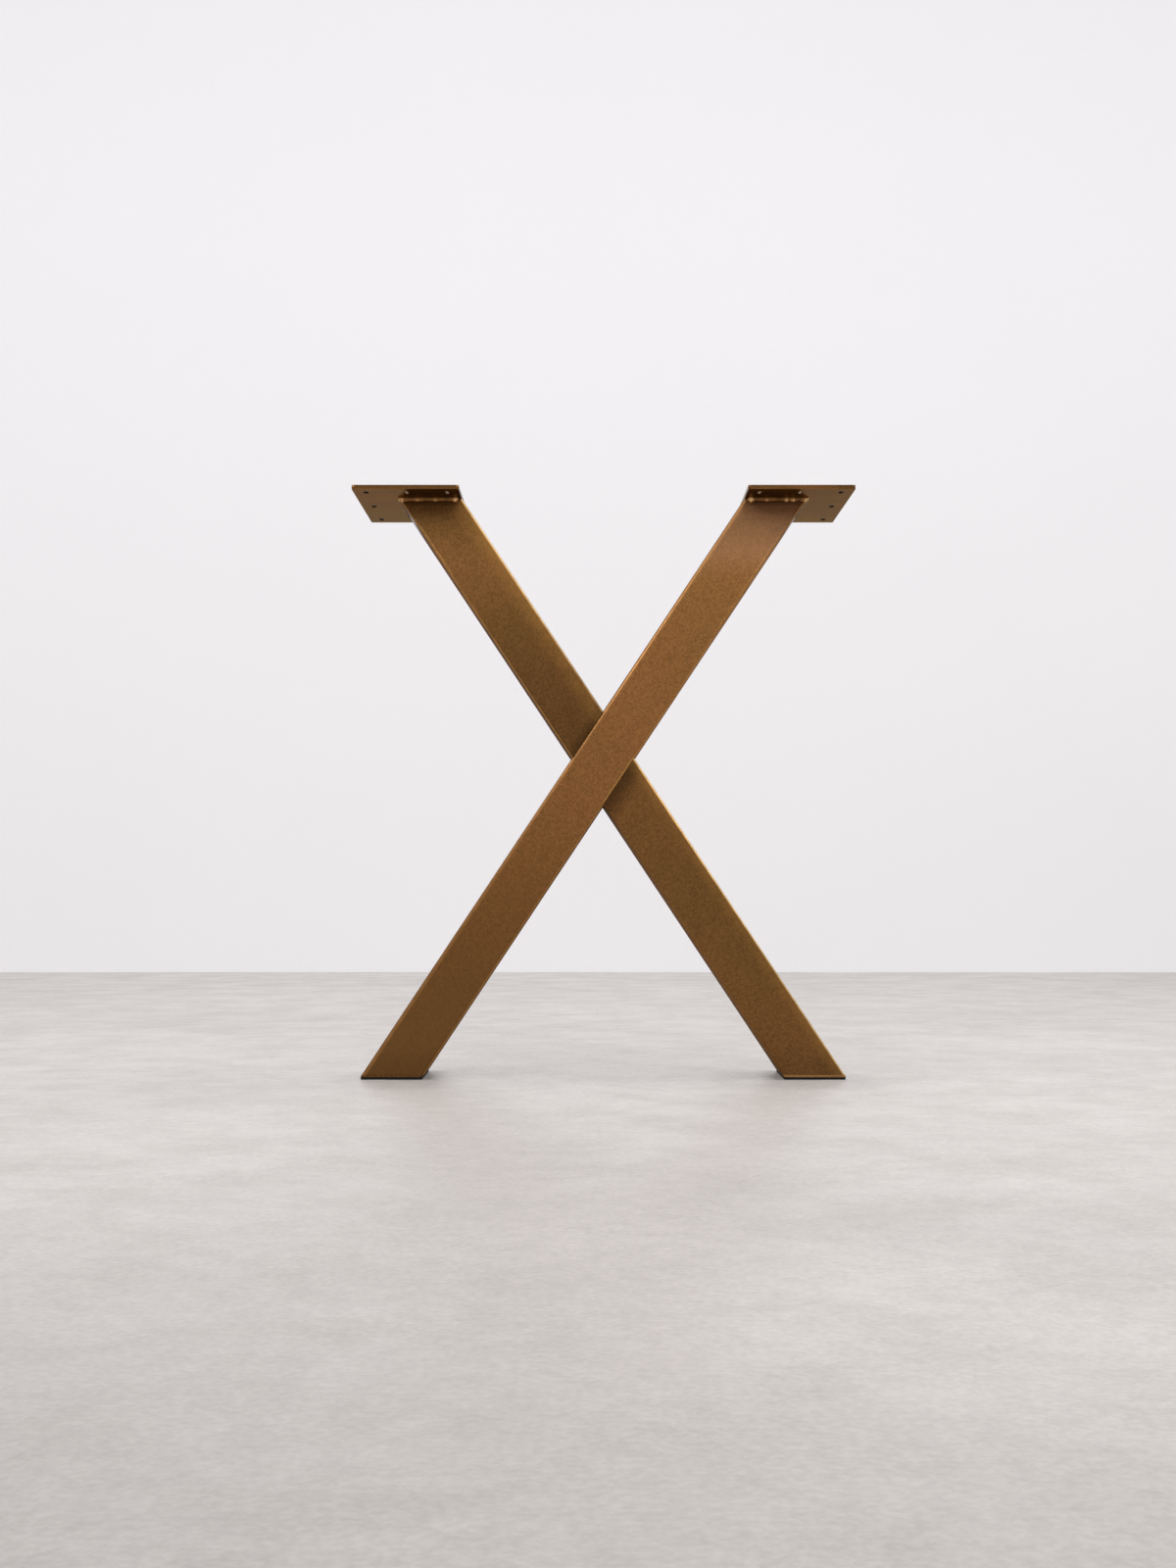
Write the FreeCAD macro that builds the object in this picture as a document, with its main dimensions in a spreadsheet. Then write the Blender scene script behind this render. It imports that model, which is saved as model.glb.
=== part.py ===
import FreeCAD, Part
import math
import os

import Sketcher
from FreeCAD import Placement, Rotation, Vector

# X shaped table leg, welded from steel. Two rectangular hollow bars cross: one is whole,
# the other is two halves that meet its sides. Each top end carries a mounting plate with
# screw holes, each bottom end is closed by a cap and stands on a thin pad.
#
# Millimetres, +Z up, +X to the right, the front faces -Y.
# The origin is on the floor, centred under the leg.

# Every size that can be set by itself, in millimetres, and the lean in degrees
SIZES = {
    "overall_height": 710,
    "crossing_height": 390,
    "lean_angle": 33.6,
    "face_width": 63,
    "bar_depth": 100,
    "wall_thickness": 2,
    "inside_corner_radius": 1,
    "plate_length": 127,
    "plate_depth": 210,
    "plate_thickness": 5,
    "plate_corner_radius": 2.5,
    "hole_diameter": 5.5,
    "hole_end_margin": 15,
    "hole_side_margin": 20,
    "cap_thickness": 3,
    "pad_thickness": 3,
    "pad_inset": 0.5,
    "weld_leg": 5,
    "ripple_pitch": 6,
    "ripple_depth": 0.6,
    "seam_recess": 0.8,
}

# Formulas that the pieces share
LEAN = "Sizes.lean_angle"
PLATE_UNDERSIDE = "(Sizes.overall_height - Sizes.plate_thickness)"
CAP_UNDERSIDE = "Sizes.pad_thickness"
CAP_TOP = "(Sizes.pad_thickness + Sizes.cap_thickness)"
HALF_FACE = "Sizes.face_width / 2"
HALF_DEPTH = "Sizes.bar_depth / 2"
OUTSIDE_CORNER_RADIUS = "(Sizes.wall_thickness + Sizes.inside_corner_radius)"
CUT_WIDTH = f"(Sizes.face_width / cos({LEAN}))"
BAR_TOP_X = f"(({PLATE_UNDERSIDE} - Sizes.crossing_height) * tan({LEAN}))"
BAR_FOOT_X = f"((Sizes.crossing_height - {CAP_UNDERSIDE}) * tan({LEAN}))"
INNER_TOP_CORNER_X = f"({BAR_TOP_X} - {CUT_WIDTH} / 2)"

# Shape of a hand-laid weld, as shares of its leg: how far its face bulges, and how much
# one ripple may differ from the next
WELD_BULGE = 0.15
WELD_UNEVENNESS = 0.06

doc = FreeCAD.newDocument("x_table_leg")


def make_sheet():
    """The spreadsheet of driving dimensions."""
    sheet = doc.addObject("Spreadsheet::Sheet", "Sizes")
    for row, (name, size) in enumerate(SIZES.items(), start=1):
        sheet.set(f"A{row}", name)
        sheet.set(f"B{row}", str(size))
        sheet.setAlias(f"B{row}", name)
    doc.recompute()
    return sheet


def value(formula):
    """The number that a formula of the sheet's sizes gives."""
    result = sheet.evalExpression(formula)
    return float(getattr(result, "Value", result))


# Sketching

def new_sketch(body, name, plane_role):
    """An empty sketch on one of the body's own origin planes."""
    sketch = body.newObject("Sketcher::SketchObject", name)
    plane = next(item for item in body.Origin.OriginFeatures if item.Role == plane_role)
    sketch.AttachmentSupport = [(plane, "")]
    sketch.MapMode = "FlatFace"
    return sketch


def bind(sketch, constraint, formula):
    """Add a dimension and bind it to a formula."""
    index = sketch.addConstraint(constraint)
    sketch.setExpression(f"Constraints[{index}]", formula)


def place_point(sketch, geometry, end, x, y):
    """Hold a point at x and y from the sketch's origin."""
    bind(sketch, Sketcher.Constraint("DistanceX", -1, 1, geometry, end, value(x)), x)
    bind(sketch, Sketcher.Constraint("DistanceY", -1, 1, geometry, end, value(y)), y)


def draw_polygon(sketch, corners):
    """A closed outline through corners, each an x and a y formula."""
    points = [Vector(value(x), value(y), 0) for x, y in corners]
    count = len(points)
    lines = [
        sketch.addGeometry(Part.LineSegment(points[i], points[(i + 1) % count]), False)
        for i in range(count)
    ]
    for i, line in enumerate(lines):
        sketch.addConstraint(Sketcher.Constraint("Coincident", line, 2, lines[(i + 1) % count], 1))
        place_point(sketch, line, 1, *corners[i])


def draw_rounded_rectangle(sketch, low_x, low_y, high_x, high_y, radius):
    """A rectangle between two corners, with its four corners rounded."""
    left = value(low_x)
    bottom = value(low_y)
    right = value(high_x)
    top = value(high_y)
    r = value(radius)
    centres = [
        Vector(left + r, bottom + r, 0),
        Vector(right - r, bottom + r, 0),
        Vector(right - r, top - r, 0),
        Vector(left + r, top - r, 0),
    ]
    quarter = math.pi / 2
    arcs = []
    for i, centre in enumerate(centres):
        circle = Part.Circle(centre, Vector(0, 0, 1), r)
        arc = Part.ArcOfCircle(circle, (i + 2) * quarter, (i + 3) * quarter)
        arcs.append(sketch.addGeometry(arc, False))
    outward = [Vector(0, -r, 0), Vector(r, 0, 0), Vector(0, r, 0), Vector(-r, 0, 0)]
    for i, side in enumerate(outward):
        following = (i + 1) % 4
        start = centres[i] + side
        end = centres[following] + side
        line = sketch.addGeometry(Part.LineSegment(start, end), False)
        sketch.addConstraint(Sketcher.Constraint("Tangent", arcs[i], 2, line, 1))
        sketch.addConstraint(Sketcher.Constraint("Tangent", line, 2, arcs[following], 1))
        direction = "Horizontal" if i % 2 == 0 else "Vertical"
        sketch.addConstraint(Sketcher.Constraint(direction, line))
    for arc in arcs[1:]:
        sketch.addConstraint(Sketcher.Constraint("Equal", arcs[0], arc))
    bind(sketch, Sketcher.Constraint("Radius", arcs[0], r), radius)
    place_point(sketch, arcs[0], 3, f"{low_x} + {radius}", f"{low_y} + {radius}")
    place_point(sketch, arcs[2], 3, f"{high_x} - {radius}", f"{high_y} - {radius}")


def draw_section(sketch, inset):
    """The bar's cross-section, or the hollow inside it when inset is the wall."""
    width = f"({HALF_FACE} - {inset})"
    depth = f"({HALF_DEPTH} - {inset})"
    radius = f"({OUTSIDE_CORNER_RADIUS} - {inset})"
    draw_rounded_rectangle(sketch, f"-{width}", f"-{depth}", width, depth, radius)


def cut_through(body, name, sketch):
    """Cut the sketch's outline right through the body, both ways."""
    pocket = body.newObject("PartDesign::Pocket", name)
    pocket.Profile = sketch
    pocket.Type = "ThroughAll"
    pocket.SideType = "Symmetric"
    return pocket


# Bars and foot caps

def level_cut(level, lean_sign):
    """Where a leaning bar is cut by a level plane: distance on its axis, and slope."""
    return f"(({level} - Sizes.crossing_height) / cos({LEAN}))", f"({lean_sign} * tan({LEAN}))"


def seam_cut(side):
    """Where a half bar is cut by the whole bar's side: distance on its axis, and slope."""
    return f"({side} * {HALF_FACE} / sin(2 * {LEAN}))", f"(1 / tan(2 * {LEAN}))"


def mitre(body, name, cut, outward):
    """Cut a bar's end off along a line across its face."""
    distance, slope = cut
    reach = "Sizes.face_width"
    far = f"({distance} + {outward} * Sizes.overall_height)"
    sketch = new_sketch(body, f"{name}_line", "XZ_Plane")
    draw_polygon(sketch, [
        (f"-{reach}", f"{distance} - {slope} * {reach}"),
        (reach, f"{distance} + {slope} * {reach}"),
        (reach, far),
        (f"-{reach}", far),
    ])
    return cut_through(body, name, sketch)


def make_bar(label, lean_sign, top, bottom, hollow=True):
    """A length of bar between two cuts. Its own Z runs up its axis from the crossing."""
    body = doc.addObject("PartDesign::Body", label)
    body.Label = label
    section = new_sketch(body, f"{label}_section", "XY_Plane")
    draw_section(section, "0")

    blank = body.newObject("PartDesign::Pad", f"{label}_blank")
    blank.Profile = section
    above = value(top[0]) > 0
    below = value(bottom[0]) < 0
    upward = f"{top[0]} + Sizes.face_width"
    downward = f"Sizes.face_width - {bottom[0]}"
    if above and below:
        blank.SideType = "Two sides"
        blank.setExpression("Length", upward)
        blank.setExpression("Length2", downward)
    else:
        blank.Reversed = below
        blank.setExpression("Length", upward if above else downward)
    if hollow:
        bore = new_sketch(body, f"{label}_bore_section", "XY_Plane")
        draw_section(bore, "Sizes.wall_thickness")
        cut_through(body, f"{label}_bore", bore)
    mitre(body, f"{label}_top_mitre", top, 1)
    mitre(body, f"{label}_bottom_mitre", bottom, -1)

    body.Placement = Placement(Vector(), Rotation(Vector(0, lean_sign, 0), value(LEAN)))
    body.setExpression("Placement.Base.z", "Sizes.crossing_height")
    body.setExpression("Placement.Rotation.Angle", LEAN)
    return body


# Mounting plates and foot pads

def hole_places():
    """Centres of the screw holes: three along each edge that the bar leaves free."""
    near_end = "Sizes.hole_end_margin"
    middle = "Sizes.plate_length / 2"
    far_end = "(Sizes.plate_length - Sizes.hole_end_margin)"
    side = "(Sizes.plate_depth / 2 - Sizes.hole_side_margin)"
    places = [(x, f"{sign}{side}") for x in (near_end, middle, far_end) for sign in ("-", "")]
    return places + [(far_end, "0")]


def make_plate(label, turn):
    """A mounting plate. Its own X runs outwards from the bar's inner top corner."""
    body = doc.addObject("PartDesign::Body", label)
    body.Label = label
    half = "Sizes.plate_depth / 2"
    outline = new_sketch(body, f"{label}_outline", "XY_Plane")
    draw_rounded_rectangle(outline, "0", f"-{half}", "Sizes.plate_length", half,
                           "Sizes.plate_corner_radius")
    blank = body.newObject("PartDesign::Pad", f"{label}_blank")
    blank.Profile = outline
    blank.setExpression("Length", "Sizes.plate_thickness")

    circles = new_sketch(body, f"{label}_hole_circles", "XY_Plane")
    radius = value("Sizes.hole_diameter / 2")
    for x, y in hole_places():
        centre = Vector(value(x), value(y), 0)
        circle = circles.addGeometry(Part.Circle(centre, Vector(0, 0, 1), radius), False)
        bind(circles, Sketcher.Constraint("Radius", circle, radius), "Sizes.hole_diameter / 2")
        place_point(circles, circle, 3, x, y)
    cut_through(body, f"{label}_holes", circles)

    sign = "" if turn == 0 else "-"
    body.Placement = Placement(Vector(), Rotation(Vector(0, 0, 1), turn))
    body.setExpression("Placement.Base.x", f"{sign}{INNER_TOP_CORNER_X}")
    body.setExpression("Placement.Base.z", PLATE_UNDERSIDE)
    return body


def make_pad(label, sign):
    """A thin pad glued under a foot cap, a little smaller than the cap all round."""
    body = doc.addObject("PartDesign::Body", label)
    body.Label = label
    width = f"({CUT_WIDTH} / 2 - Sizes.pad_inset)"
    depth = f"({HALF_DEPTH} - Sizes.pad_inset)"
    outline = new_sketch(body, f"{label}_outline", "XY_Plane")
    draw_rounded_rectangle(outline, f"-{width}", f"-{depth}", width, depth,
                           OUTSIDE_CORNER_RADIUS)
    sheet_stock = body.newObject("PartDesign::Pad", f"{label}_stock")
    sheet_stock.Profile = outline
    sheet_stock.setExpression("Length", "Sizes.pad_thickness")
    body.setExpression("Placement.Base.x", f"{sign} * {BAR_FOOT_X}")
    return body


# Welds

def make_seam_weld(label, bar_side, front):
    """A recessed weld between the whole bar's rounded edge and a half bar's end.

    It fills the groove from the named recess down to the inside of the wall. Its own Z
    runs up the whole bar's axis, bar_side is the side of that bar and front is -1 or 1.
    """
    body = doc.addObject("PartDesign::Body", label)
    body.Label = label
    contact = f"({bar_side} * {HALF_FACE})"
    edge_centre_x = f"({bar_side} * ({HALF_FACE} - {OUTSIDE_CORNER_RADIUS}))"
    edge_centre_y = f"({front} * ({HALF_DEPTH} - {OUTSIDE_CORNER_RADIUS}))"
    face = f"({front} * ({HALF_DEPTH} - Sizes.seam_recess))"
    root = f"({front} * ({HALF_DEPTH} - Sizes.wall_thickness))"
    middle = f"(-1 * {bar_side} * {HALF_FACE} / tan(2 * {LEAN}))"
    length = f"((Sizes.face_width - 2 * {OUTSIDE_CORNER_RADIUS}) / sin(2 * {LEAN}))"

    strip = new_sketch(body, f"{label}_strip_section", "XY_Plane")
    draw_polygon(strip, [
        (contact, face),
        (edge_centre_x, face),
        (edge_centre_x, root),
        (contact, root),
    ])
    filler = body.newObject("PartDesign::Pad", f"{label}_filler")
    filler.Profile = strip
    filler.SideType = "Symmetric"
    filler.setExpression("Length", length)

    rounding = new_sketch(body, f"{label}_bar_edge", "XY_Plane")
    centre = Vector(value(edge_centre_x), value(edge_centre_y), 0)
    radius = value(OUTSIDE_CORNER_RADIUS)
    circle = rounding.addGeometry(Part.Circle(centre, Vector(0, 0, 1), radius), False)
    bind(rounding, Sketcher.Constraint("Radius", circle, radius), OUTSIDE_CORNER_RADIUS)
    place_point(rounding, circle, 3, edge_centre_x, edge_centre_y)
    cut_through(body, f"{label}_seat", rounding)

    for sketch in (strip, rounding):
        sketch.setExpression("AttachmentOffset.Base.z", middle)
    body.Placement = Placement(Vector(), Rotation(Vector(0, 1, 0), value(LEAN)))
    body.setExpression("Placement.Base.z", "Sizes.crossing_height")
    body.setExpression("Placement.Rotation.Angle", LEAN)
    return body


def weld_path():
    """The right bar's outline under its plate, along the front, outer side and back.

    It starts and ends where the bar's inner edges stop being round. Its two corners are
    the ellipses that a level plane cuts from the outer edges.
    """
    height = value(PLATE_UNDERSIDE)
    round_x = value(f"{OUTSIDE_CORNER_RADIUS} / cos({LEAN})")
    round_y = value(OUTSIDE_CORNER_RADIUS)
    inner_x = value(INNER_TOP_CORNER_X) + round_x
    corner_x = value(f"{BAR_TOP_X} + {CUT_WIDTH} / 2") - round_x
    corner_y = value(HALF_DEPTH) - round_y
    front_corner = Part.Ellipse(Vector(corner_x, -corner_y, height), round_x, round_y)
    back_corner = Part.Ellipse(Vector(corner_x, corner_y, height), round_x, round_y)
    quarter = math.pi / 2
    stations = [
        Vector(inner_x, -corner_y - round_y, height),
        front_corner.value(-quarter),
        front_corner.value(0),
        back_corner.value(0),
        back_corner.value(quarter),
        Vector(inner_x, corner_y + round_y, height),
    ]
    return Part.Wire([
        Part.LineSegment(stations[0], stations[1]).toShape(),
        Part.ArcOfEllipse(front_corner, -quarter, 0).toShape(),
        Part.LineSegment(stations[2], stations[3]).toShape(),
        Part.ArcOfEllipse(back_corner, 0, quarter).toShape(),
        Part.LineSegment(stations[4], stations[5]).toShape(),
    ])


def weld_section(root, along, leg):
    """A fillet weld's section: two legs and a bulging face, reaching a little way into
    the bar and the plate, to be trimmed there."""
    up = Vector(0, 0, 1)
    outward = along.cross(up).normalize()
    recede = math.tan(math.radians(value(LEAN))) * outward.x
    down_the_bar = (outward * -recede - up).normalize()
    bisector = (outward + down_the_bar).normalize()
    reach = value("Sizes.wall_thickness") / 2
    on_plate = root + outward * leg
    on_bar = root + down_the_bar * leg
    crown = (on_plate + on_bar) / 2 + bisector * leg * WELD_BULGE
    corners = [
        on_plate,
        on_plate + up * reach,
        root + (up - outward) * reach,
        on_bar - outward * reach,
        on_bar,
    ]
    sides = [Part.LineSegment(a, b).toShape() for a, b in zip(corners, corners[1:])]
    return Part.Wire(sides + [Part.Arc(on_bar, crown, on_plate).toShape()])


def make_plate_weld_shape(bar_blank):
    """The rippled fillet weld under the right plate, trimmed to its seats."""
    path = weld_path()
    leg = value("Sizes.weld_leg")
    ripples = int(round(path.Length / value("Sizes.ripple_pitch")))
    count = 2 * ripples + 1
    points = path.discretize(Number=count)
    sections = []
    for i, point in enumerate(points):
        along = points[min(i + 1, count - 1)] - points[max(i - 1, 0)]
        if i % 2:
            size = leg * (1 + WELD_UNEVENNESS * math.sin(i * i))
        else:
            size = leg - value("Sizes.ripple_depth")
        sections.append(weld_section(point, along, size))
    bead = Part.makeLoft(sections, True, True)
    spare = 2 * leg
    above = Part.makeBox(
        value(CUT_WIDTH) + 2 * spare,
        value("Sizes.bar_depth") + 2 * spare,
        spare,
        Vector(value(INNER_TOP_CORNER_X) - spare, -value(HALF_DEPTH) - spare,
               value(PLATE_UNDERSIDE)),
    )
    return bead.cut([bar_blank, above]).Solids[0]


def make_plate_weld(label, shape, turn):
    """Place the weld under a plate, turned about the leg's upright axis."""
    weld = doc.addObject("Part::Feature", label)
    weld.Label = label
    weld.Shape = shape
    weld.Placement = Placement(Vector(), Rotation(Vector(0, 0, 1), turn))
    return weld


# The whole leg

def export(pieces):
    """Check every object of the document, then write one file for each piece."""
    for item in doc.Objects:
        if "Invalid" in item.State or "Error" in item.State:
            raise RuntimeError(f"{item.Name} failed to build: {item.State}")
    for piece in pieces:
        shape = piece.Shape
        if shape.isNull() or not shape.isValid() or len(shape.Solids) != 1:
            raise RuntimeError(f"{piece.Label} is not one valid solid")
    os.makedirs("parts", exist_ok=True)
    for piece in pieces:
        piece.Shape.exportStep(f"parts/{piece.Label}.step")
        print(f"{piece.Label}: {piece.Shape.Volume / 1000:.2f} cm3")


sheet = make_sheet()
continuous_bar = make_bar("continuous_bar", 1,
                          level_cut(PLATE_UNDERSIDE, 1), level_cut(CAP_TOP, 1))
pieces = [
    continuous_bar,
    make_bar("upper_half_bar", -1, level_cut(PLATE_UNDERSIDE, -1), seam_cut(1)),
    make_bar("lower_half_bar", -1, seam_cut(-1), level_cut(CAP_TOP, -1)),
    make_bar("left_foot_cap", 1, level_cut(CAP_TOP, 1), level_cut(CAP_UNDERSIDE, 1), False),
    make_bar("right_foot_cap", -1, level_cut(CAP_TOP, -1), level_cut(CAP_UNDERSIDE, -1), False),
    make_plate("right_mounting_plate", 0),
    make_plate("left_mounting_plate", 180),
    make_pad("left_foot_pad", -1),
    make_pad("right_foot_pad", 1),
]
for joint, bar_side in (("upper", -1), ("lower", 1)):
    for face, front in (("front", -1), ("back", 1)):
        pieces.append(make_seam_weld(f"crossing_weld_{joint}_{face}", bar_side, front))
doc.recompute()

bar_blank = doc.getObject("continuous_bar_blank").Shape.copy()
bar_blank.Placement = continuous_bar.Placement
weld_shape = make_plate_weld_shape(bar_blank)
pieces.append(make_plate_weld("right_plate_weld", weld_shape, 0))
pieces.append(make_plate_weld("left_plate_weld", weld_shape, 180))
doc.recompute()
export(pieces)
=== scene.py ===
import math
import random

import bpy
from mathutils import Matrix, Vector


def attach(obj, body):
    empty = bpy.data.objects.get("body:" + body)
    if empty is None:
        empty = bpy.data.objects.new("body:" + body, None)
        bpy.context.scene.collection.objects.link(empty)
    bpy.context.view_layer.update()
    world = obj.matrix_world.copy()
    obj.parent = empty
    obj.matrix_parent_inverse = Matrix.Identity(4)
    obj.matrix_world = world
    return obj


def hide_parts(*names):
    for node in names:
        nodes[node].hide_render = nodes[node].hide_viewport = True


# Looks of the X shaped table leg: patinated brass finish on welded steel, hand-laid weld
# beads and black pads, on a pale floor in soft light. Metres, in the frame of the CAD.
# A part of the photograph's light and shade is painted in the finishes of the leg, the
# floor and the wall, by place.

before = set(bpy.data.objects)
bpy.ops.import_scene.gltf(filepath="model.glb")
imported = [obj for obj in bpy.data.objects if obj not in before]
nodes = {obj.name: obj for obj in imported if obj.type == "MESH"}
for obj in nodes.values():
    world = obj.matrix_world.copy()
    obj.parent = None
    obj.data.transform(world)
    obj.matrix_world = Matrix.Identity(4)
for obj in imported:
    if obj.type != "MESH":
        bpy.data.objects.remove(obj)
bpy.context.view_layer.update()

# Sizes of the leg that the looks follow
LEAN = math.radians(33.6)
CROSSING_Z = 0.390
HALF_FACE = 0.0315
HALF_DEPTH = 0.050
CORNER_RADIUS = 0.003
WALL = 0.002
PLATE_UNDERSIDE = 0.705
SEAM_RECESS = 0.0008
WELD_LEG = 0.0048
FOOT_X = 0.2571
FOOT_HALF_WIDTH = 0.0378
HOLES = ((0.18647, 0.085), (0.23497, 0.085), (0.28347, 0.085), (0.28347, 0.0))
HOLES_BY_BAR = HOLES[:2]


# Node trees

class Nodes:
    """A node tree, with one method for each kind of node that the looks need.

    A source is a value, or the socket that gives one.
    """

    def __init__(self, tree):
        self.tree = tree

    def feed(self, socket, source):
        if isinstance(source, bpy.types.NodeSocket):
            self.tree.links.new(source, socket)
        else:
            socket.default_value = source

    def coordinate(self, name):
        return self.tree.nodes.new("ShaderNodeTexCoord").outputs[name]

    def parts_of(self, vector):
        node = self.tree.nodes.new("ShaderNodeSeparateXYZ")
        self.feed(node.inputs[0], vector)
        return node.outputs

    def math(self, operation, *sources):
        node = self.tree.nodes.new("ShaderNodeMath")
        node.operation = operation
        for socket, source in zip(node.inputs, sources):
            self.feed(socket, source)
        return node.outputs[0]

    def times(self, product, *factors):
        """The product of all the sources."""
        for factor in factors:
            product = self.math("MULTIPLY", product, factor)
        return product

    def fade(self, source, start, end, low=0.0, high=1.0):
        """A smooth step from low at start to high at end."""
        node = self.tree.nodes.new("ShaderNodeMapRange")
        node.interpolation_type = "SMOOTHSTEP"
        for name, number in (("Value", source), ("From Min", start), ("From Max", end),
                             ("To Min", low), ("To Max", high)):
            self.feed(node.inputs[name], number)
        return node.outputs[0]

    def noise(self, vector, scale, detail, roughness=0.5):
        """Noise about 0.5, nearly all of it between 0.3 and 0.7."""
        node = self.tree.nodes.new("ShaderNodeTexNoise")
        self.feed(node.inputs["Vector"], vector)
        node.inputs["Scale"].default_value = scale
        node.inputs["Detail"].default_value = detail
        node.inputs["Roughness"].default_value = roughness
        return node.outputs[0]

    def mix(self, share, first, second):
        """The first colour, with a share of the second."""
        node = self.tree.nodes.new("ShaderNodeMix")
        node.data_type = "RGBA"
        self.feed(node.inputs[0], share)
        for index, source in ((6, first), (7, second)):
            if not isinstance(source, bpy.types.NodeSocket):
                source = (*source, 1.0)
            self.feed(node.inputs[index], source)
        return node.outputs[2]

    def shade(self, colour, amount):
        """The colour times an amount."""
        node = self.tree.nodes.new("ShaderNodeVectorMath")
        node.operation = "SCALE"
        self.feed(node.inputs[0], colour)
        self.feed(node.inputs["Scale"], amount)
        return node.outputs[0]


class Shader(Nodes):
    """A material."""

    def __init__(self, name):
        self.material = bpy.data.materials.new(name)
        self.material.use_nodes = True
        super().__init__(self.material.node_tree)
        self.surface = self.tree.nodes["Principled BSDF"]

    def set(self, **inputs):
        """Feed inputs of the surface."""
        for name, source in inputs.items():
            self.feed(self.surface.inputs[name.replace("_", " ")], source)

    def place(self):
        """The point on the object, in metres."""
        return self.coordinate("Object")

    def bump(self, height, distance, strength):
        node = self.tree.nodes.new("ShaderNodeBump")
        node.inputs["Strength"].default_value = strength
        node.inputs["Distance"].default_value = distance
        self.feed(node.inputs["Height"], height)
        self.feed(self.surface.inputs["Normal"], node.outputs[0])


# Finishes

DEEP_BROWN = (0.205, 0.086, 0.027)
WARM_BROWN = (0.315, 0.139, 0.046)
OLIVE_BROWN = (0.255, 0.124, 0.037)
BRIGHT_BRASS = (0.60, 0.36, 0.15)
SOFT_HIGHLIGHT_BRASS = (0.45, 0.25, 0.15)
WELD_HIGHLIGHT = (0.80, 0.51, 0.24)
SHEEN_BROWN = (0.62, 0.29, 0.10)
SHEEN_OLIVE = (0.56, 0.28, 0.07)
EDGE_GOLD = (0.85, 0.58, 0.27)
EDGE_BRONZE = (0.80, 0.44, 0.13)
DARK_BORE = (0.004, 0.003, 0.002)
LIT_BORE = (0.52, 0.37, 0.22)
CLEAN_PAD = (0.004, 0.004, 0.004)
DUSTY_PAD = (0.012, 0.011, 0.010)
BAR_TINT = (0.15, 0.09, 0.04, 1.0)
PLATE_TINT = (0.30, 0.26, 0.16, 1.0)
WELD_TINT = (0.60, 0.50, 0.36, 1.0)
METALLIC = 0.88
HUE_SPREAD = 0.35


def patinated_brass(name, red, gloss=0.40, grainy=0.23):
    """Antique brass: cloudy browns at several scales, under a thin lacquer.

    red is the share of the warmer brown, gloss the roughness, and grainy how far the
    grain goes to both sides. It returns the shader, its place, colour and roughness, for
    the piece to add to.
    """
    shader = Shader(name)
    place = shader.place()
    clouds = shader.noise(place, scale=7.0, detail=3.0, roughness=0.55)
    patches = shader.noise(place, scale=15.0, detail=3.0)
    grain = shader.noise(place, scale=470.0, detail=3.0, roughness=0.7)
    warmth = shader.fade(clouds, 0.36, 0.64, max(0.0, red - HUE_SPREAD), min(1.0, red + HUE_SPREAD))
    colour = shader.mix(warmth, OLIVE_BROWN, WARM_BROWN)
    colour = shader.mix(shader.fade(patches, 0.34, 0.70, high=0.42), colour, DEEP_BROWN)
    colour = shader.shade(colour, shader.fade(grain, 0.33, 0.67, 1.0 - grainy, 1.0 + grainy))
    roughness = shader.fade(patches, 0.3, 0.7, gloss - 0.04, gloss + 0.05)
    shader.set(Metallic=METALLIC, Coat_Weight=0.06, Coat_Roughness=0.22, Coat_IOR=1.5,
               Specular_Tint=BAR_TINT)
    return shader, place, colour, roughness


def finish_brass(shader, place, colour, roughness):
    """Link the colour and roughness, and add the fine unevenness of the finish."""
    shader.set(Base_Color=colour, Roughness=roughness)
    unevenness = shader.noise(place, scale=380.0, detail=3.0, roughness=0.6)
    shader.bump(unevenness, distance=0.00006, strength=0.5)
    return shader.material


# Where a bar's finish changes across its face: start and end of each change, measured
# from the middle line of the face towards its upper side
UPPER_LINE = (0.0292, 0.0301)
UPPER_SIDE = (0.0309, HALF_FACE)
LOWER_LINE = (-0.0304, -0.0296)
LOWER_CORNER = (-0.0309, -0.0299)
LOWER_SIDE = (-HALF_FACE, -0.0311)
SEAM_LINE = (-0.0300, -0.0286)

# Where the face turns into the rounded corners, measured from the middle of the depth
ROUNDING = (0.0462, 0.0474)

# Where the whole bar passes the half bars, measured from their middle line
CROSSING = (HALF_FACE - 0.003, HALF_FACE + 0.002)

# Heights at which it changes
NEAR_FLOOR_Z = (0.006, 0.050)
OLIVE_Z = (0.02, 0.34)
ABOVE_CROSSING_Z = (0.43, 0.56)
SOFT_HIGHLIGHT_Z = (0.60, 0.66)
TOP_SHADE_Z = (0.634, 0.668)
GLOSSY_SIDE_Z = (0.650, 0.685)
BY_WELD_Z = (0.679, 0.691)
UNDER_BEAD_Z = (0.6955, 0.6975)


def across_bar(shader, axes, lean_sign):
    """Distance from the middle line of a bar's face."""
    rise = shader.math("SUBTRACT", axes[2], CROSSING_Z)
    leant = shader.times(rise, -lean_sign * math.sin(LEAN))
    return shader.math("MULTIPLY_ADD", axes[0], math.cos(LEAN), leant)


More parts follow.
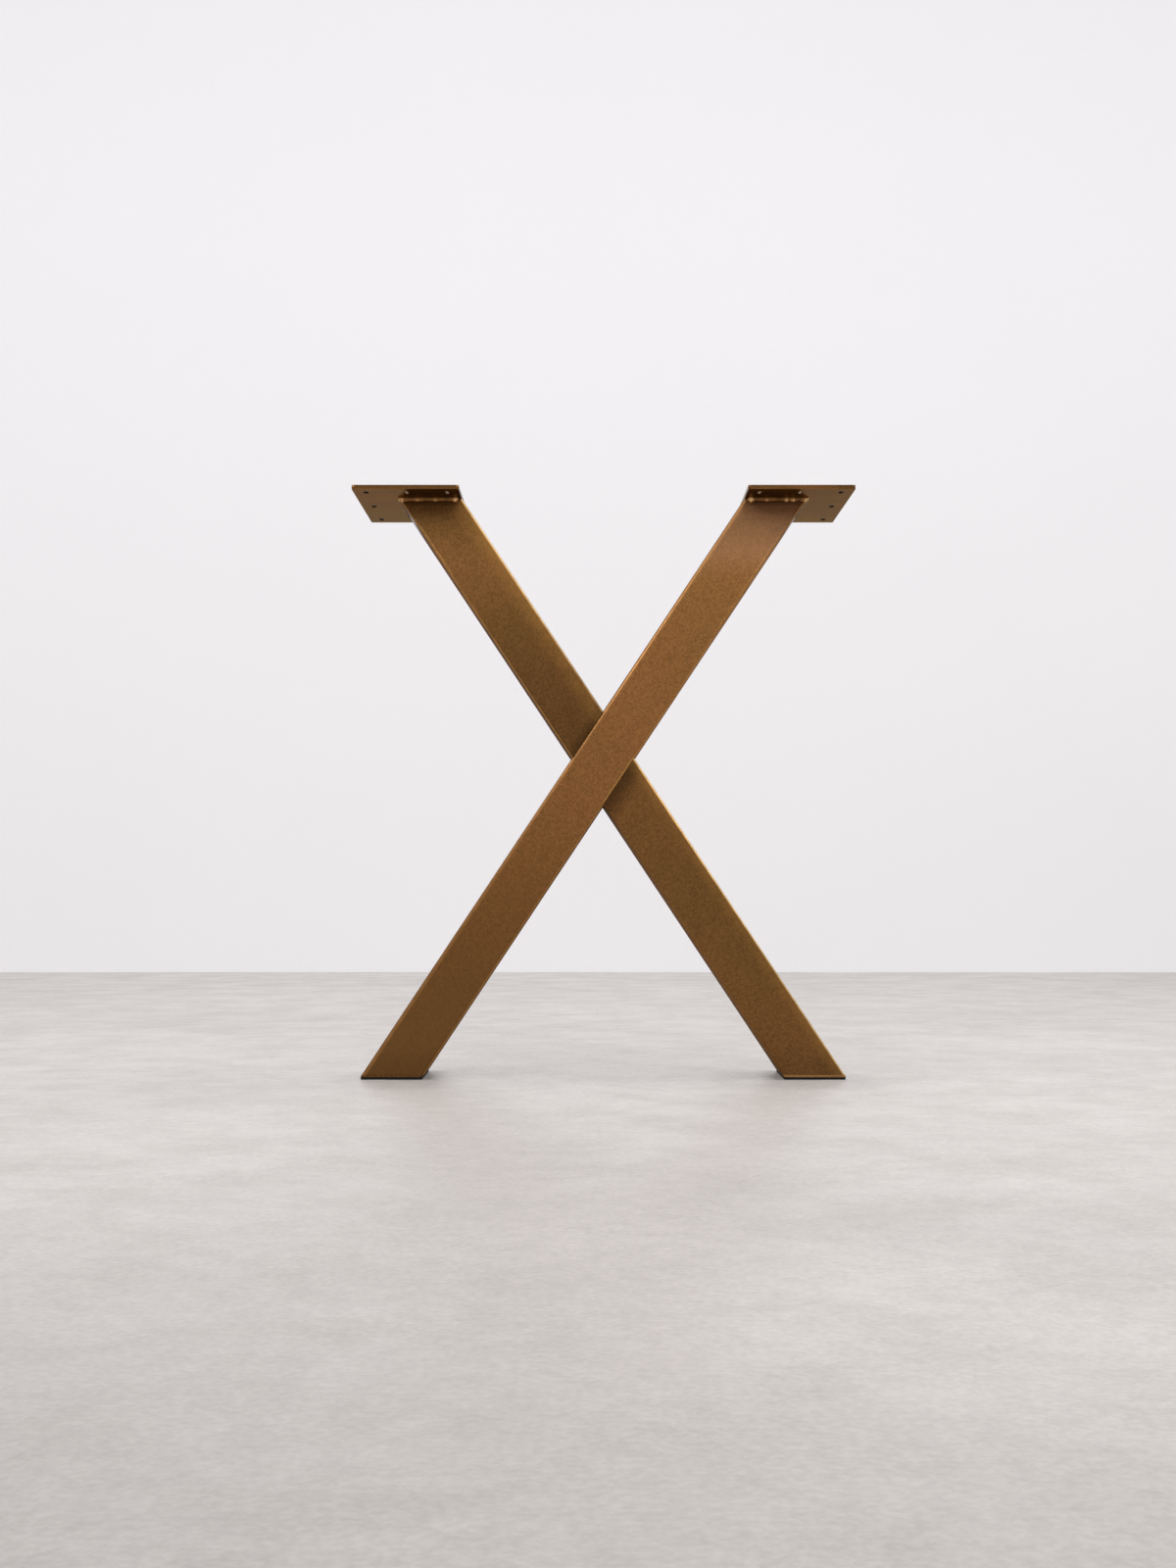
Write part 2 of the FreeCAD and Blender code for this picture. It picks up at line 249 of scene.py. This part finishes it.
def bar_finish(name, lean_sign, red, by_height, upper_sheen, lines, by_seam=None, top_shade=1.0):
    """The finish of a bar, lighter and darker by place: mostly painted light and painted
    shade, partly the finish's own tone.

    by_height is where the painted shade changes: two heights and the shade at each.
    upper_sheen is where a painted sheen lightens the face towards its upper edge: two
    distances and the most it does. lines is how much painted highlight, partly wear, the
    rounded upper and lower edges get. by_seam is for a half bar: how far its painted shade
    reaches from the crossing, and its shade there. top_shade is the painted shade under
    the plate.
    """
    shader, place, colour, roughness = patinated_brass(name, red)
    axes = shader.parts_of(place)
    height = axes[2]
    upward = shader.times(across_bar(shader, axes, lean_sign), -lean_sign)
    rounded = shader.fade(shader.math("ABSOLUTE", axes[1]), *ROUNDING)
    upper_line = shader.fade(upward, *UPPER_LINE)
    lower_line = shader.fade(upward, *LOWER_LINE, 1.0, 0.0)
    # A painted sheen lightens the face towards its upper edge, patchy along the bar
    patchy = shader.fade(shader.noise(place, scale=60.0, detail=3.0), 0.3, 0.62, low=0.6)
    near_edge, edge, most = upper_sheen
    painted_sheen = shader.times(shader.fade(upward, near_edge, edge, high=most), patchy,
                           shader.fade(upward, *UPPER_SIDE, 1.0, 0.3))

    # Painted shade under the plate, painted light by the weld, painted shade under the bead
    # and near the floor, and painted shade by height along the bar
    shadow = shader.times(shader.fade(height, *TOP_SHADE_Z, 1.0, top_shade),
                          shader.fade(height, *BY_WELD_Z, 1.0, 1.33),
                          shader.fade(height, *UNDER_BEAD_Z, 1.0, 0.70),
                          shader.fade(height, *NEAR_FLOOR_Z, 0.86, 1.0),
                          shader.fade(height, *by_height))
    # A half bar gets painted shade near the crossing
    if by_seam:
        reach, seam_shade = by_seam
        seam = shader.math("ABSOLUTE", across_bar(shader, axes, 1))
        near_seam = shader.fade(seam, HALF_FACE, HALF_FACE + reach, low=seam_shade)
        shadow = shader.times(shadow, near_seam)
        sheen_colour = SHEEN_OLIVE
    else:
        # The whole bar: a soft painted highlight near its top, olive towards the floor, painted
        # shade above the crossing, less painted sheen where it passes the half bars, and a painted
        # highlight along its lower edge there
        colour = shader.mix(shader.fade(height, *SOFT_HIGHLIGHT_Z, high=0.3), colour, SOFT_HIGHLIGHT_BRASS)
        colour = shader.mix(shader.fade(height, *OLIVE_Z, 0.6, 0.0), colour, OLIVE_BROWN)
        colour = shader.shade(colour, shader.fade(height, *ABOVE_CROSSING_Z, 1.0, 0.93))
        aside = shader.math("ABSOLUTE", across_bar(shader, axes, -1))
        crossing = shader.fade(aside, *CROSSING, 1.0, 0.0)
        painted_sheen = shader.times(painted_sheen, shader.math("MULTIPLY_ADD", crossing, -0.5, 1.0))
        seam_line = shader.times(shader.fade(upward, *SEAM_LINE, 0.55, 0.0), crossing, rounded)
        colour = shader.mix(seam_line, colour, EDGE_BRONZE)
        sheen_colour = SHEEN_BROWN

    # Painted shade on the rounded upper edge, less where it gets a painted highlight; the
    # rounded edges get painted highlights, partly wear, gold above and bronze below
    edge_highlight_above, edge_highlight_below = lines
    dark = shader.times(upper_line, rounded, -0.4 * (1.0 - edge_highlight_above))
    wear_and_highlight = shader.times(rounded, patchy)
    colour = shader.shade(colour, shadow)
    colour = shader.mix(painted_sheen, colour, sheen_colour)
    colour = shader.shade(colour, shader.math("ADD", dark, 1.0))
    colour = shader.mix(shader.times(upper_line, wear_and_highlight, edge_highlight_above), colour, EDGE_GOLD)
    colour = shader.mix(shader.times(lower_line, wear_and_highlight, edge_highlight_below), colour, EDGE_BRONZE)

    # The lower corner is duller, and the lower side glossy near the plate
    dull = shader.fade(upward, *LOWER_CORNER, 0.5, 0.0)
    glossy = shader.times(shader.fade(upward, *LOWER_SIDE, -0.7, 0.0),
                          shader.fade(height, *GLOSSY_SIDE_Z))
    roughness = shader.math("ADD", roughness, shader.math("ADD", dull, glossy))
    return finish_brass(shader, place, colour, roughness)


# Where a plate's finish changes: heights, then distances from the middle plane of the
# depth, from the middle of the leg and from a hole's axis
PLATE_UNDERSIDE_Z = (0.7048, 0.7058)
PLATE_TOP_Z = (0.7092, 0.7102)
BORE_Z = (0.7058, 0.7068)
PLATE_FRONT = (0.1030, 0.1046)
LEFT_TO_RIGHT = (-0.1, 0.1)
BESIDE_BAR = (0.228, 0.240)
HOLE_RIM = (0.0032, 0.0035)
LIT_MIDDLE = (0.0008, 0.0024)


def nearest_hole(shader, x, y, squash):
    """Distance from the axis of the nearest screw hole of a plate, squashed along y."""
    nearest = 1.0
    for hole_x, hole_y in HOLES:
        aside = shader.math("POWER", shader.math("SUBTRACT", x, hole_x), 2.0)
        along = shader.times(shader.math("SUBTRACT", y, hole_y), squash)
        along = shader.math("POWER", along, 2.0)
        distance = shader.math("SQRT", shader.math("ADD", aside, along))
        nearest = shader.math("MINIMUM", nearest, distance)
    return nearest


def plate_finish(name):
    """The plates: glossier, with wear along their edges and painted shade in the screw holes.

    The underside is painted lighter than the top. The front and back edges get painted
    light on the left plate and painted shade on the right, and the underside painted shade
    beside the bar.
    """
    shader, place, colour, roughness = patinated_brass(name, red=0.4, gloss=0.14, grainy=0.15)
    axes = shader.parts_of(place)
    height = axes[2]
    x = shader.math("ABSOLUTE", axes[0])
    y = shader.math("ABSOLUTE", axes[1])
    below = shader.fade(height, *PLATE_UNDERSIDE_Z, 1.0, 0.0)
    above = shader.fade(height, *PLATE_TOP_Z)
    front = shader.fade(y, *PLATE_FRONT)
    sideways = shader.fade(axes[0], *LEFT_TO_RIGHT, 0.20, -0.14)
    wear = shader.times(shader.math("ADD", below, above), front, 0.04)
    by_bar = shader.times(shader.fade(x, *BESIDE_BAR, 0.22, 0.0), below)
    # Painted light on the underside and painted shade on the top; painted light on the left plate's
    # front and back edges and painted shade on the right one's
    colour = shader.shade(colour, shader.math("MULTIPLY_ADD", below, 0.35, 0.85))
    colour = shader.shade(colour, shader.math("MULTIPLY_ADD", front, sideways, 1.0))
    colour = shader.mix(wear, colour, BRIGHT_BRASS)
    # Painted shade on the underside beside the bar
    colour = shader.shade(colour, shader.math("SUBTRACT", 1.0, by_bar))

    # Painted shade darkens each hole, drawn out along y on the underside, and the holes
    # beside the bar get painted light in the middle
    hole = nearest_hole(shader, x, y, shader.fade(height, *BORE_Z, 0.52, 1.0))
    in_hole = shader.fade(hole, *HOLE_RIM, 1.0, 0.0)
    aside = [shader.math("ABSOLUTE", shader.math("SUBTRACT", x, hole_x))
             for hole_x, _ in HOLES_BY_BAR]
    lit = shader.times(shader.fade(shader.math("MINIMUM", *aside), *LIT_MIDDLE, 1.0, 0.0),
                       shader.fade(height, *BORE_Z, 1.0, 0.0))
    colour = shader.mix(in_hole, colour, shader.mix(lit, DARK_BORE, LIT_BORE))
    roughness = shader.math("MAXIMUM", roughness, shader.times(in_hole, 0.9))
    shader.set(Specular_Tint=PLATE_TINT, Coat_Weight=0.0,
               Metallic=shader.math("MULTIPLY_ADD", in_hole, -METALLIC, METALLIC))
    return finish_brass(shader, place, colour, roughness)


def cap_finish(name, light, wear_and_highlight):
    """The foot caps: ground flush, so a little smoother. light scales a cap's colour as
    painted shade, and the share of bright brass is its painted highlight.
    """
    shader, place, colour, roughness = patinated_brass(name, red=0.3, gloss=0.34)
    colour = shader.mix(wear_and_highlight, shader.shade(colour, light), BRIGHT_BRASS)
    return finish_brass(shader, place, colour, roughness)


def weld_finish(name, red, light):
    """Weld metal: the same finish, with painted shade in the valleys and a painted highlight
    on the crests; light is how bright the crests are painted.
    """
    shader, place, colour, roughness = patinated_brass(name, red, gloss=0.28)
    shader.set(Coat_Weight=0.0, Specular_Tint=WELD_TINT)
    node = shader.tree.nodes.new("ShaderNodeAttribute")
    node.attribute_name = "crest"
    crest = node.outputs["Fac"]
    colour = shader.shade(colour, shader.fade(crest, 0.0, 0.8, 0.25, light))
    colour = shader.mix(shader.fade(crest, 0.60, 1.0, high=0.95), colour, WELD_HIGHLIGHT)
    roughness = shader.math("SUBTRACT", roughness, shader.fade(crest, 0.5, 1.0, high=0.10))
    return finish_brass(shader, place, colour, roughness)


def pad_finish(name):
    """Matt black pad, with a fine cellular surface."""
    shader = Shader(name)
    place = shader.place()
    dust = shader.noise(place, scale=90.0, detail=4.0, roughness=0.6)
    cells = shader.noise(place, scale=1500.0, detail=2.0)
    colour = shader.mix(shader.fade(dust, 0.4, 0.75), CLEAN_PAD, DUSTY_PAD)
    shader.set(Base_Color=colour, Roughness=shader.fade(dust, 0.3, 0.7, 0.82, 0.95),
               Specular_IOR_Level=0.25)
    shader.bump(cells, distance=0.0001, strength=0.6)
    return shader.material


# Pieces

def dress(node_name, material, edge_width):
    """Give a CAD node its finish, and round its sharp edges a little by modifiers."""
    piece = nodes[node_name]
    piece.data.materials.clear()
    piece.data.materials.append(material)
    join = piece.modifiers.new("join", "WELD")
    join.merge_threshold = 0.00001
    bevel = piece.modifiers.new("edges", "BEVEL")
    bevel.width = edge_width
    bevel.segments = 2
    bevel.limit_method = "ANGLE"
    bevel.angle_limit = math.radians(40)
    bevel.harden_normals = True
    bevel.use_clamp_overlap = True


def add_piece(name, rings, crests, material, replaced):
    """A new piece that stands for a CAD node: a closed skin over rings of equal size."""
    size = len(rings[0])
    vertices = [point for ring in rings for point in ring]
    faces = []
    for i in range(len(rings) - 1):
        for j in range(size):
            k = (j + 1) % size
            faces.append((i * size + j, i * size + k, (i + 1) * size + k, (i + 1) * size + j))
    last = (len(rings) - 1) * size
    faces.append(tuple(range(size))[::-1])
    faces.append(tuple(last + j for j in range(size)))

    mesh = bpy.data.meshes.new(name)
    mesh.from_pydata(vertices, [], faces)
    mesh.update()
    for polygon in mesh.polygons:
        polygon.use_smooth = True
    attribute = mesh.attributes.new("crest", "FLOAT", "POINT")
    attribute.data.foreach_set("value", crests)
    mesh.materials.append(material)
    piece = bpy.data.objects.new(name, mesh)
    bpy.context.scene.collection.objects.link(piece)
    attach(piece, "root")
    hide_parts(replaced)


def waves(seed, lengths):
    """A smooth, repeatable unevenness: a sum of sines with the given wavelengths."""
    source = random.Random(seed)
    parts = [(2 * math.pi / length, source.uniform(0, 2 * math.pi)) for length in lengths]

    def height(distance):
        return sum(math.sin(rate * distance + start) for rate, start in parts) / len(parts)

    return height


def ripple_at(phase):
    """Height of the ripples left by the welding, from 0 to 1, one for each whole phase."""
    return abs(math.sin(math.pi * phase))


# Steps of the bar's outline along the front, round a corner and along the side
FRONT_STEPS = 400
CORNER_STEPS = 60
SIDE_STEPS = 500

# The bead under a plate: step and sides of its mesh, length of its tapering ends, how far
# it bulges, pitch and height of its ripples, and how they bow and drift along the bead
BEAD_STEP = 0.00032
BEAD_SIDES = 13
BEAD_END = 0.0032
BULGE = 0.26
PITCH = 0.0024
RIPPLE = 0.00030
BOW = 0.0016
DRIFT = 0.0007

# How far the bead's hidden back lies inside the bar and the plate
SUNK = 0.0004
ROOT_SUNK = 0.0006

# The bead in a seam of the crossing: steps along and across it, its width, how far it goes
# under the whole bar's side, its sag, pitch, ripples, bow and wobble
SEAM_STEPS = 260
SEAM_SIDES = 7
SEAM_WIDTH = CORNER_RADIUS * 0.93
SEAM_LAP = 0.0001
SEAM_SAG = 0.00025
SEAM_PITCH = 0.0019
SEAM_RIPPLE = 0.00016
SEAM_BOW = 0.0007
SEAM_WOBBLE = 0.0001


def outline_under_plate():
    """The right bar's outline where it meets its plate, finely divided.

    It runs along the front, round the outer corner, along the outer side and back.
    """
    half_cut = HALF_FACE / math.cos(LEAN)
    top_x = (PLATE_UNDERSIDE - CROSSING_Z) * math.tan(LEAN)
    round_x = CORNER_RADIUS / math.cos(LEAN)
    start_x = top_x - half_cut + round_x
    centre_x = top_x + half_cut - round_x
    centre_y = HALF_DEPTH - CORNER_RADIUS
    straight = (centre_x - start_x) / FRONT_STEPS

    def corner(y, quarter):
        turns = [math.pi / 2 * (i / CORNER_STEPS + quarter) for i in range(CORNER_STEPS)]
        return [(centre_x + round_x * math.cos(turn), y + CORNER_RADIUS * math.sin(turn))
                for turn in turns]

    points = [(start_x + straight * i, -HALF_DEPTH) for i in range(FRONT_STEPS)]
    points += corner(-centre_y, -1)
    points += [(centre_x + round_x, centre_y * (2 * i / SIDE_STEPS - 1)) for i in range(SIDE_STEPS)]
    points += corner(centre_y, 0)
    points += [(centre_x - straight * i, HALF_DEPTH) for i in range(FRONT_STEPS + 1)]
    return [Vector((x, y, PLATE_UNDERSIDE)) for x, y in points]


def evenly(points, step):
    """Points at equal steps along a line of points, and its length."""
    lengths = [0.0]
    for a, b in zip(points, points[1:]):
        lengths.append(lengths[-1] + (b - a).length)
    total = lengths[-1]
    count = int(round(total / step))
    result = []
    i = 0
    for n in range(count + 1):
        target = total * n / count
        while i < len(points) - 2 and lengths[i + 1] < target:
            i += 1
        share = (target - lengths[i]) / (lengths[i + 1] - lengths[i])
        result.append(points[i].lerp(points[i + 1], share))
    return result, total


def plate_weld(name, turned, lumps, seed, material, replaced):
    """A hand-laid fillet weld round three sides of a bar, under its plate.

    It is laid on the right bar, and turned half round for the left one. Lumps are places
    along the bead where it swells, each with its size and length.
    """
    path, total = evenly(outline_under_plate(), BEAD_STEP)
    swell = waves(seed, (0.031, 0.019, 0.0127))
    wobble = waves(seed + 1, (0.0083, 0.0061, 0.0047))
    drift = waves(seed + 2, (0.017, 0.011))
    up = Vector((0, 0, 1))
    rings = []
    crests = []
    for i, root in enumerate(path):
        s = total * i / (len(path) - 1)
        along = (path[min(i + 1, len(path) - 1)] - path[max(i - 1, 0)]).normalized()
        outward = along.cross(up).normalized()
        recede = math.tan(LEAN) * outward.x
        down = (outward * -recede - up).normalized()
        opening = down.angle(outward)

        # The leg wavers, swells at the lumps, is smaller on the outer side and tapers off
        leg = WELD_LEG * (1 + 0.07 * swell(s) + 0.05 * wobble(s))
        swollen = sum(size * math.exp(-((s - at) / width) ** 2) for at, size, width in lumps)
        leg *= (1 + swollen) * (1 - 0.35 * max(0.0, outward.x) ** 2)
        end = min(s, total - s) / BEAD_END
        if end < 1:
            leg *= 0.25 + 0.75 * math.sqrt(1 - (1 - end) ** 2)

        ring = []
        for k in range(BEAD_SIDES):
            t = k / (BEAD_SIDES - 1)
            arch = math.sin(math.pi * t)
            turned_down = down * math.sin((1 - t) * opening)
            turned_out = outward * math.sin(t * opening)
            direction = (turned_down + turned_out) / math.sin(opening)
            flat = math.cos(opening / 2) / math.cos((t - 0.5) * opening)
            ripple = ripple_at((s - BOW * arch + DRIFT * drift(s)) / PITCH)
            reach = leg * flat * (1 + (BULGE + 0.5 * swollen) * arch)
            reach += (ripple - 0.5) * RIPPLE * arch ** 0.6
            ring.append(root + direction * reach)

            # The more the metal stands out, the more painted highlight and the less painted shade
            # it gets
            crest = 0.42 * ripple * arch + 0.20 + 2.6 * swollen + 0.10 * swell(s)
            crests.append(min(1.0, crest))
        ring.append(ring[-1] + up * SUNK)
        ring.append(root + (up - outward) * ROOT_SUNK)
        ring.append(ring[0] - outward * SUNK)
        crests += [0.0, 0.0, 0.0]
        rings.append(ring)
    if turned:
        rings = [[Vector((-p.x, -p.y, p.z)) for p in ring] for ring in rings]
    add_piece(name, rings, crests, material, replaced)


def seam_weld(name, bar_side, front, seed, material, replaced):
    """A narrow recessed bead in the groove between the whole bar's edge and a half bar."""
    turn = 2 * LEAN
    middle = -bar_side * HALF_FACE / math.tan(turn)
    half_length = (HALF_FACE - CORNER_RADIUS) / math.sin(turn)
    axis = Vector((math.sin(LEAN), 0, math.cos(LEAN)))
    across = Vector((math.cos(LEAN), 0, -math.sin(LEAN)))
    out = Vector((0, front, 0))
    centre = Vector((0, 0, CROSSING_Z))
    wobble = waves(seed, (0.011, 0.0067, 0.0043))
    start_side = HALF_FACE + SEAM_LAP
    rings = []
    crests = []
    for i in range(SEAM_STEPS + 1):
        s = half_length * (2 * i / SEAM_STEPS - 1)
        on_seam = centre + axis * (middle + s)
        ring = []
        for k in range(SEAM_SIDES):
            t = k / (SEAM_SIDES - 1)
            arch = math.sin(math.pi * t)
            side = start_side - t * SEAM_WIDTH
            ripple = ripple_at((s + SEAM_BOW * arch) / SEAM_PITCH)
            level = HALF_DEPTH - SEAM_RECESS - SEAM_SAG * arch
            level += SEAM_RIPPLE * (ripple - 0.5) + SEAM_WOBBLE * wobble(s)
            ring.append(on_seam + across * (bar_side * side) + out * level)
            crests.append(0.05 + 0.3 * ripple)
        for side in (HALF_FACE - SEAM_WIDTH, start_side):
            ring.append(on_seam + across * (bar_side * side) + out * (HALF_DEPTH - WALL))
            crests.append(0.0)
        rings.append(ring)
    add_piece(name, rings, crests, material, replaced)


# Widths of the softened edges
BAR_EDGE = 0.0003
PLATE_EDGE = 0.0005

whole = bar_finish("brass_continuous_bar", lean_sign=1, red=0.75,
                   by_height=(0.10, 0.42, 0.72, 1.06), upper_sheen=(0.0252, 0.0305, 0.60),
                   lines=(0.1, 0.50), top_shade=0.74)
upper = bar_finish("brass_upper_half_bar", lean_sign=-1, red=0.25,
                   by_height=(0.45, 0.66, 0.58, 0.80), upper_sheen=(0.006, 0.031, 0.24),
                   lines=(0.85, 0.60), by_seam=(0.014, 0.62), top_shade=0.86)
lower = bar_finish("brass_lower_half_bar", lean_sign=-1, red=0.25,
                   by_height=(0.03, 0.16, 0.73, 0.82), upper_sheen=(0.014, 0.031, 0.24),
                   lines=(0.85, 0.20), by_seam=(0.030, 0.39))
dress("continuous_bar", whole, BAR_EDGE)
dress("upper_half_bar", upper, BAR_EDGE)
dress("lower_half_bar", lower, BAR_EDGE)

plates = plate_finish("brass_plates")
dress("left_mounting_plate", plates, PLATE_EDGE)
dress("right_mounting_plate", plates, PLATE_EDGE)

# Painted shade on the left cap, and a painted highlight on the right one
dress("left_foot_cap", cap_finish("brass_left_cap", light=0.60, wear_and_highlight=0.0), BAR_EDGE)
dress("right_foot_cap", cap_finish("brass_right_cap", light=1.0, wear_and_highlight=0.25), BAR_EDGE)

pads = pad_finish("black_pads")
dress("left_foot_pad", pads, PLATE_EDGE)
dress("right_foot_pad", pads, PLATE_EDGE)

RIGHT_LUMPS = ((0.0035, 0.30, 0.0035), (0.0230, 0.12, 0.003), (0.0465, 0.16, 0.003),
               (0.0550, 0.12, 0.0025), (0.0715, 0.20, 0.004))
LEFT_LUMPS = ((0.0040, 0.25, 0.0035), (0.1720, 0.15, 0.004), (0.1900, 0.10, 0.003),
              (0.2130, 0.12, 0.003), (0.2380, 0.24, 0.0032))
RIGHT_SEED = 11
LEFT_SEED = 23
SEAM_SEED = 40

# The left bead's crests are painted lighter than the right one's
welds = weld_finish("brass_welds", red=0.35, light=0.96)
left_weld = weld_finish("brass_left_weld", red=0.1, light=1.15)
plate_weld("right_plate_weld_bead", False, RIGHT_LUMPS, RIGHT_SEED, welds, "right_plate_weld")
plate_weld("left_plate_weld_bead", True, LEFT_LUMPS, LEFT_SEED, left_weld, "left_plate_weld")
for joint, bar_side in (("upper", -1), ("lower", 1)):
    for face, front in (("front", -1), ("back", 1)):
        seam_weld(f"crossing_bead_{joint}_{face}", bar_side, front,
                  SEAM_SEED + 2 * bar_side + front, welds, f"crossing_weld_{joint}_{face}")


# Stage

WALL_Y = 2.526
WALL_TOP = 7
STAGE_SIDE = 8
STAGE_NEAR = -9

# The painted shade on the floor round a foot: its middle and half its length along y, and
# how far it fades
FOOT_SHADE_Y = -0.070
FOOT_SHADE_HALF = 0.050
FOOT_SHADE_REACH = 0.060

PALE_FLOOR = (0.660, 0.626, 0.597)
GREY_FLOOR = (0.600, 0.566, 0.540)
DULL_FLOOR = (0.560, 0.527, 0.501)
WALL_COLOURS = ((0.870, 0.860, 0.872), (0.890, 0.880, 0.892))
WALL_GLOWS = ((0.195, 0.193, 0.210), (0.290, 0.287, 0.315))


def flat_stage(name, corners, material):
    mesh = bpy.data.meshes.new(name)
    mesh.from_pydata(corners, [], [(0, 1, 2, 3)])
    mesh.materials.append(material)
    stage = bpy.data.objects.new(name, mesh)
    bpy.context.scene.collection.objects.link(stage)


def foot_shades(floor, x, y):
    """Painted shade on the floor round each foot, and a painted shadow on its inner side under the
    leaning bar.
    """
    aside = floor.math("ABSOLUTE", floor.math("SUBTRACT", x, FOOT_X))
    aside = floor.math("MAXIMUM", floor.math("SUBTRACT", aside, FOOT_HALF_WIDTH), 0.0)
    along = floor.math("ABSOLUTE", floor.math("SUBTRACT", y, FOOT_SHADE_Y))
    along = floor.math("MAXIMUM", floor.math("SUBTRACT", along, FOOT_SHADE_HALF), 0.0)
    squares = floor.math("ADD", floor.math("POWER", aside, 2.0), floor.math("POWER", along, 2.0))
    near_foot = floor.fade(floor.math("SQRT", squares), 0.0, FOOT_SHADE_REACH, low=0.89)
    inward = floor.math("SUBTRACT", FOOT_X - FOOT_HALF_WIDTH, x)
    overhung = floor.times(floor.fade(inward, 0.0, 0.032, 0.38, 0.0),
                           floor.fade(inward, -0.05, -0.04),
                           floor.fade(floor.math("ABSOLUTE", y), 0.045, 0.065, 1.0, 0.0))
    return near_foot, floor.math("SUBTRACT", 1.0, overhung)


def broad_shades(floor, axes, x):
    """Painted light and shade over the whole floor: dim in front and far away, and lighter in a few
    regions.
    """
    y = axes[1]
    far_middle = floor.times(floor.fade(x, 0.5, 1.0, 0.05, 0.0), floor.fade(y, 0.7, 1.5))
    near_right = floor.times(floor.fade(axes[0], 0.0, 0.6), floor.fade(y, 0.2, 1.6, 0.07, 0.0))
    front_right = floor.times(floor.fade(axes[0], -0.22, 0.10, -0.03, 0.08),
                              floor.fade(y, -1.35, -0.95, 1.0, 0.0))
    pale = floor.math("ADD", floor.math("ADD", far_middle, near_right), front_right)
    return (floor.fade(y, -3.4, -0.3, low=0.38), floor.fade(y, 0.8, 2.4, 1.0, 0.90),
            floor.math("ADD", pale, 1.0))


def floor_finish():
    """Pale, cloudy concrete. A part of its light is its own, as if from a wide room."""
    floor = Shader("pale_concrete")
    place = floor.place()
    axes = floor.parts_of(place)
    x = floor.math("ABSOLUTE", axes[0])
    broad = floor.noise(place, scale=1.6, detail=4.0, roughness=0.6)
    cloudy = floor.noise(place, scale=9.0, detail=5.0, roughness=0.65)
    mottled = floor.noise(place, scale=45.0, detail=4.0, roughness=0.7)
    gritty = floor.noise(place, scale=190.0, detail=2.0, roughness=0.6)
    colour = floor.mix(floor.fade(broad, 0.35, 0.65), GREY_FLOOR, PALE_FLOOR)
    colour = floor.mix(floor.fade(cloudy, 0.40, 0.75, high=0.5), colour, DULL_FLOOR)
    for amount in (floor.fade(mottled, 0.3, 0.7, 0.945, 1.045),
                   floor.fade(gritty, 0.3, 0.7, 0.935, 1.065),
                   *foot_shades(floor, x, axes[1]),
                   *broad_shades(floor, axes, x)):
        colour = floor.shade(colour, amount)
    floor.set(Base_Color=floor.shade(colour, 0.46), Emission_Color=floor.shade(colour, 0.40),
              Emission_Strength=1.0, Roughness=floor.fade(cloudy, 0.3, 0.7, 0.34, 0.46),
              Specular_IOR_Level=0.40)
    floor.bump(gritty, distance=0.0002, strength=0.3)
    return floor.material


def wall_finish():
    """White plaster, with some light of its own that grows upwards."""
    wall = Shader("white_wall")
    place = wall.place()
    plaster = wall.noise(place, scale=3.0, detail=4.0, roughness=0.6)
    height = wall.parts_of(place)[2]
    glow = wall.mix(wall.fade(height, 0.0, 2.2), *WALL_GLOWS)
    wall.set(Base_Color=wall.mix(plaster, *WALL_COLOURS), Roughness=0.9,
             Specular_IOR_Level=0.1, Emission_Color=glow, Emission_Strength=1.0)
    return wall.material


flat_stage("floor", [(-STAGE_SIDE, STAGE_NEAR, 0), (STAGE_SIDE, STAGE_NEAR, 0),
                     (STAGE_SIDE, WALL_Y, 0), (-STAGE_SIDE, WALL_Y, 0)], floor_finish())
flat_stage("wall", [(-STAGE_SIDE, WALL_Y, 0), (STAGE_SIDE, WALL_Y, 0),
                    (STAGE_SIDE, WALL_Y, WALL_TOP), (-STAGE_SIDE, WALL_Y, WALL_TOP)], wall_finish())


# Light

def softbox(name, place, aim, size, power):
    data = bpy.data.lights.new(name, "AREA")
    data.size = size
    data.energy = power
    lamp = bpy.data.objects.new(name, data)
    bpy.context.scene.collection.objects.link(lamp)
    lamp.location = place
    lamp.rotation_euler = (Vector(aim) - Vector(place)).to_track_quat("-Z", "Y").to_euler()


softbox("key", (-1.3, -2.5, 2.0), (0.0, 0.0, 0.5), size=1.1, power=24)
softbox("fill", (0.7, -2.6, 2.0), (0.0, 0.0, 0.5), size=1.1, power=16)
softbox("window", (2.1, 0.2, 2.1), (0.0, 0.0, 0.4), size=1.2, power=2)

# The room: bright above, a little brighter on the right, dim behind the camera
world = bpy.data.worlds.new("studio")
bpy.context.scene.world = world
world.use_nodes = True
room = Nodes(world.node_tree)
toward = room.parts_of(room.coordinate("Generated"))
strength = room.times(room.fade(toward["Z"], 0.05, 0.60, 0.55, 1.40),
                      room.fade(toward["X"], -0.9, 0.9, 0.85, 1.15),
                      room.fade(toward["Y"], -0.97, 0.10, 0.50, 1.0))
background = world.node_tree.nodes["Background"]
room.feed(background.inputs["Strength"], strength)
room.feed(background.inputs["Color"], (1.0, 0.99, 0.98, 1.0))


# Camera

camera_data = bpy.data.cameras.new("camera")
camera_data.lens = 43.11
camera_data.sensor_width = 36
camera_data.shift_y = 0.0594
camera_data.clip_start = 0.01
camera_data.clip_end = 50
camera = bpy.data.objects.new("camera", camera_data)
bpy.context.scene.collection.objects.link(camera)
camera.location = (-0.0184, -2.327, 0.2457)
camera.rotation_euler = (math.pi / 2, 0, 0)
bpy.context.scene.camera = camera
bpy.context.scene.view_settings.view_transform = "Standard"
